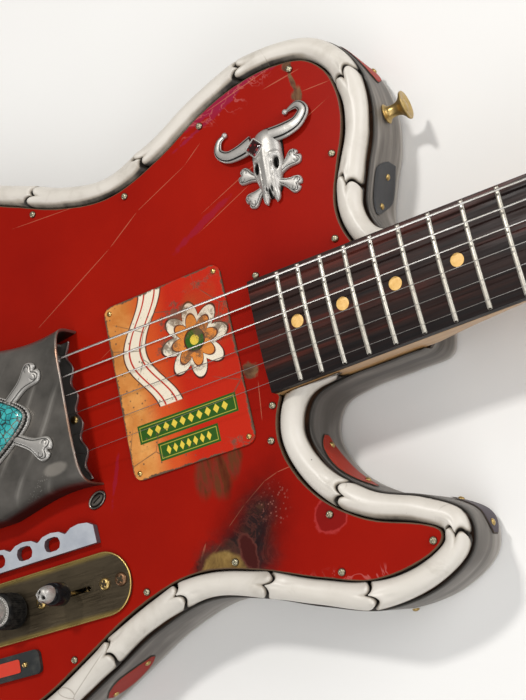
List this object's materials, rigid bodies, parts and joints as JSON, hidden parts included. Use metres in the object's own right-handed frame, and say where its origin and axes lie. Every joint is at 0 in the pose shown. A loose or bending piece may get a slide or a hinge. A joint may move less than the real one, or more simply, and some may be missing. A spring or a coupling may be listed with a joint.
{
  "type": "electric guitar",
  "caption": "Solid-body single-cutaway electric guitar with a bolt-on neck, carved bone edging, sheet-metal top, covered bridge, skull ornaments and worm-geared tuners.",
  "frame": {"origin": "on the back face, under the middle of the saddle line", "axes": "+X along the strings towards the nut, +Y towards the thick strings, +Z out of the front"},
  "size_m": [0.9951, 0.3246, 0.0725],
  "materials": {
    "body_core": "solid timber, oiled",
    "bridge_cover": "folded tin, darkened",
    "bridge_plate": "folded tin, darkened",
    "chrome_trim": "cast and plated",
    "control_plate": "aged brass",
    "edge_bone_01": "carved bone, polished, stained at the joints",
    "edge_bone_02": "carved bone, polished, stained at the joints",
    "edge_bone_03": "carved bone, polished, stained at the joints",
    "edge_bone_04": "carved bone, polished, stained at the joints",
    "edge_bone_05": "carved bone, polished, stained at the joints",
    "edge_bone_06": "carved bone, polished, stained at the joints",
    "edge_bone_07": "carved bone, polished, stained at the joints",
    "edge_bone_08": "carved bone, polished, stained at the joints",
    "edge_bone_09": "carved bone, polished, stained at the joints",
    "edge_bone_10": "carved bone, polished, stained at the joints",
    "edge_bone_11": "carved bone, polished, stained at the joints",
    "edge_bone_12": "carved bone, polished, stained at the joints",
    "edge_bone_13": "carved bone, polished, stained at the joints",
    "edge_bone_14": "carved bone, polished, stained at the joints",
    "edge_bone_15": "carved bone, polished, stained at the joints",
    "edge_bone_16": "carved bone, polished, stained at the joints",
    "edge_bone_17": "carved bone, polished, stained at the joints",
    "fingerboard": "dark rosewood with nickel frets",
    "jack_cup": "plated",
    "neck": "maple, satin",
    "nut": "bone, slotted",
    "pickup": "black bobbin with steel poles",
    "saddle_1": "turned brass",
    "saddle_2": "turned brass",
    "saddle_3": "turned brass",
    "side_band": "aged grey tin, nailed on",
    "side_plaque": "black with a red raised bar",
    "skull_plaque": "cast silver-coloured metal, darkened in the hollows",
    "stone_bezel": "cast silver-coloured metal, darkened in the hollows",
    "strap_button_neck": "turned, worn",
    "strap_button_tail": "turned, worn",
    "string_1": "steel wire",
    "string_2": "steel wire",
    "string_3": "steel wire",
    "string_4": "steel wire",
    "string_5": "steel wire",
    "string_6": "steel wire",
    "switch_lever": "black tip with a cast skull cap",
    "tin_plate": "old printed tin, worn",
    "tone_knob": "black, with a cast skull cap",
    "top_panel": "sheet metal, worn red paint",
    "tuner_button_1": "plated",
    "tuner_button_2": "plated",
    "tuner_button_3": "plated",
    "tuner_button_4": "plated",
    "tuner_button_5": "plated",
    "tuner_button_6": "plated",
    "tuner_post_1": "plated",
    "tuner_post_2": "plated",
    "tuner_post_3": "plated",
    "tuner_post_4": "plated",
    "tuner_post_5": "plated",
    "tuner_post_6": "plated",
    "turquoise_stone": "polished turquoise",
    "volume_knob": "black, with a cast skull cap"
  },
  "bodies": {
    "guitar": {"body_core": "body_core", "bridge_cover": "bridge_cover", "bridge_plate": "bridge_plate", "chrome_trim": "chrome_trim", "control_plate": "control_plate", "edge_bone_01": "edge_bone_01", "edge_bone_02": "edge_bone_02", "edge_bone_03": "edge_bone_03", "edge_bone_04": "edge_bone_04", "edge_bone_05": "edge_bone_05", "edge_bone_06": "edge_bone_06", "edge_bone_07": "edge_bone_07", "edge_bone_08": "edge_bone_08", "edge_bone_09": "edge_bone_09", "edge_bone_10": "edge_bone_10", "edge_bone_11": "edge_bone_11", "edge_bone_12": "edge_bone_12", "edge_bone_13": "edge_bone_13", "edge_bone_14": "edge_bone_14", "edge_bone_15": "edge_bone_15", "edge_bone_16": "edge_bone_16", "edge_bone_17": "edge_bone_17", "fingerboard": "fingerboard", "jack_cup": "jack_cup", "neck": "neck", "nut": "nut", "pickup": "pickup", "saddle_1": "saddle_1", "saddle_2": "saddle_2", "saddle_3": "saddle_3", "side_band": "side_band", "side_plaque": "side_plaque", "skull_plaque": "skull_plaque", "stone_bezel": "stone_bezel", "strap_button_neck": "strap_button_neck", "strap_button_tail": "strap_button_tail", "string_1": "string_1", "string_2": "string_2", "string_3": "string_3", "string_4": "string_4", "string_5": "string_5", "string_6": "string_6", "tin_plate": "tin_plate", "top_panel": "top_panel", "turquoise_stone": "turquoise_stone"},
    "volume_knob": {"volume_knob": "volume_knob"},
    "tone_knob": {"tone_knob": "tone_knob"},
    "switch_lever": {"switch_lever": "switch_lever"},
    "tuner_button_6": {"tuner_button_6": "tuner_button_6"},
    "tuner_post_6": {"tuner_post_6": "tuner_post_6"},
    "tuner_button_5": {"tuner_button_5": "tuner_button_5"},
    "tuner_post_5": {"tuner_post_5": "tuner_post_5"},
    "tuner_button_4": {"tuner_button_4": "tuner_button_4"},
    "tuner_post_4": {"tuner_post_4": "tuner_post_4"},
    "tuner_button_3": {"tuner_button_3": "tuner_button_3"},
    "tuner_post_3": {"tuner_post_3": "tuner_post_3"},
    "tuner_button_2": {"tuner_button_2": "tuner_button_2"},
    "tuner_post_2": {"tuner_post_2": "tuner_post_2"},
    "tuner_button_1": {"tuner_button_1": "tuner_button_1"},
    "tuner_post_1": {"tuner_post_1": "tuner_post_1"}
  },
  "joints": [
    {"name": "volume_knob_turn", "type": "hinge", "parent": "guitar", "child": "volume_knob", "pos_m": [-0.001, -0.091, 0.0475], "axis": [0, 0, 1], "range_deg": [-140, 140]},
    {"name": "tone_knob_turn", "type": "hinge", "parent": "guitar", "child": "tone_knob", "pos_m": [-0.042, -0.091, 0.0475], "axis": [0, 0, 1], "range_deg": [-140, 140]},
    {"name": "switch_throw", "type": "hinge", "parent": "guitar", "child": "switch_lever", "pos_m": [0.0374, -0.091, 0.0335], "axis": [0, 1, 0], "range_deg": [-22, 22]},
    {"name": "button_turn_6", "type": "hinge", "parent": "guitar", "child": "tuner_button_6", "pos_m": [0.68874, 0.0197, 0.0254], "axis": [0.2479, 0.9688, 0], "continuous": true},
    {"name": "post_turn_6", "type": "hinge", "parent": "guitar", "child": "tuner_post_6", "pos_m": [0.6837, 0.02099, 0.04445], "axis": [0, 0, 1], "continuous": true},
    {"name": "button_turn_5", "type": "hinge", "parent": "guitar", "child": "tuner_button_5", "pos_m": [0.71434, 0.01257, 0.0254], "axis": [0.2479, 0.9688, 0], "continuous": true},
    {"name": "post_turn_5", "type": "hinge", "parent": "guitar", "child": "tuner_post_5", "pos_m": [0.7093, 0.01385, 0.04445], "axis": [0, 0, 1], "continuous": true},
    {"name": "button_turn_4", "type": "hinge", "parent": "guitar", "child": "tuner_button_4", "pos_m": [0.73994, 0.00572, 0.0254], "axis": [0.2479, 0.9688, 0], "continuous": true},
    {"name": "post_turn_4", "type": "hinge", "parent": "guitar", "child": "tuner_post_4", "pos_m": [0.7349, 0.00701, 0.04445], "axis": [0, 0, 1], "continuous": true},
    {"name": "button_turn_3", "type": "hinge", "parent": "guitar", "child": "tuner_button_3", "pos_m": [0.76554, -0.00083, 0.0254], "axis": [0.2479, 0.9688, 0], "continuous": true},
    {"name": "post_turn_3", "type": "hinge", "parent": "guitar", "child": "tuner_post_3", "pos_m": [0.7605, 0.00046, 0.04445], "axis": [0, 0, 1], "continuous": true},
    {"name": "button_turn_2", "type": "hinge", "parent": "guitar", "child": "tuner_button_2", "pos_m": [0.79114, -0.00709, 0.0254], "axis": [0.2479, 0.9688, 0], "continuous": true},
    {"name": "post_turn_2", "type": "hinge", "parent": "guitar", "child": "tuner_post_2", "pos_m": [0.7861, -0.0058, 0.04445], "axis": [0, 0, 1], "continuous": true},
    {"name": "button_turn_1", "type": "hinge", "parent": "guitar", "child": "tuner_button_1", "pos_m": [0.81674, -0.01306, 0.0254], "axis": [0.2479, 0.9688, 0], "continuous": true},
    {"name": "post_turn_1", "type": "hinge", "parent": "guitar", "child": "tuner_post_1", "pos_m": [0.8117, -0.01177, 0.04445], "axis": [0, 0, 1], "continuous": true}
  ],
  "couplings": [
    {"joint": "post_turn_1", "follows": "button_turn_1", "ratio": 0.071429},
    {"joint": "post_turn_2", "follows": "button_turn_2", "ratio": 0.071429},
    {"joint": "post_turn_3", "follows": "button_turn_3", "ratio": 0.071429},
    {"joint": "post_turn_4", "follows": "button_turn_4", "ratio": 0.071429},
    {"joint": "post_turn_5", "follows": "button_turn_5", "ratio": 0.071429},
    {"joint": "post_turn_6", "follows": "button_turn_6", "ratio": 0.071429}
  ]
}
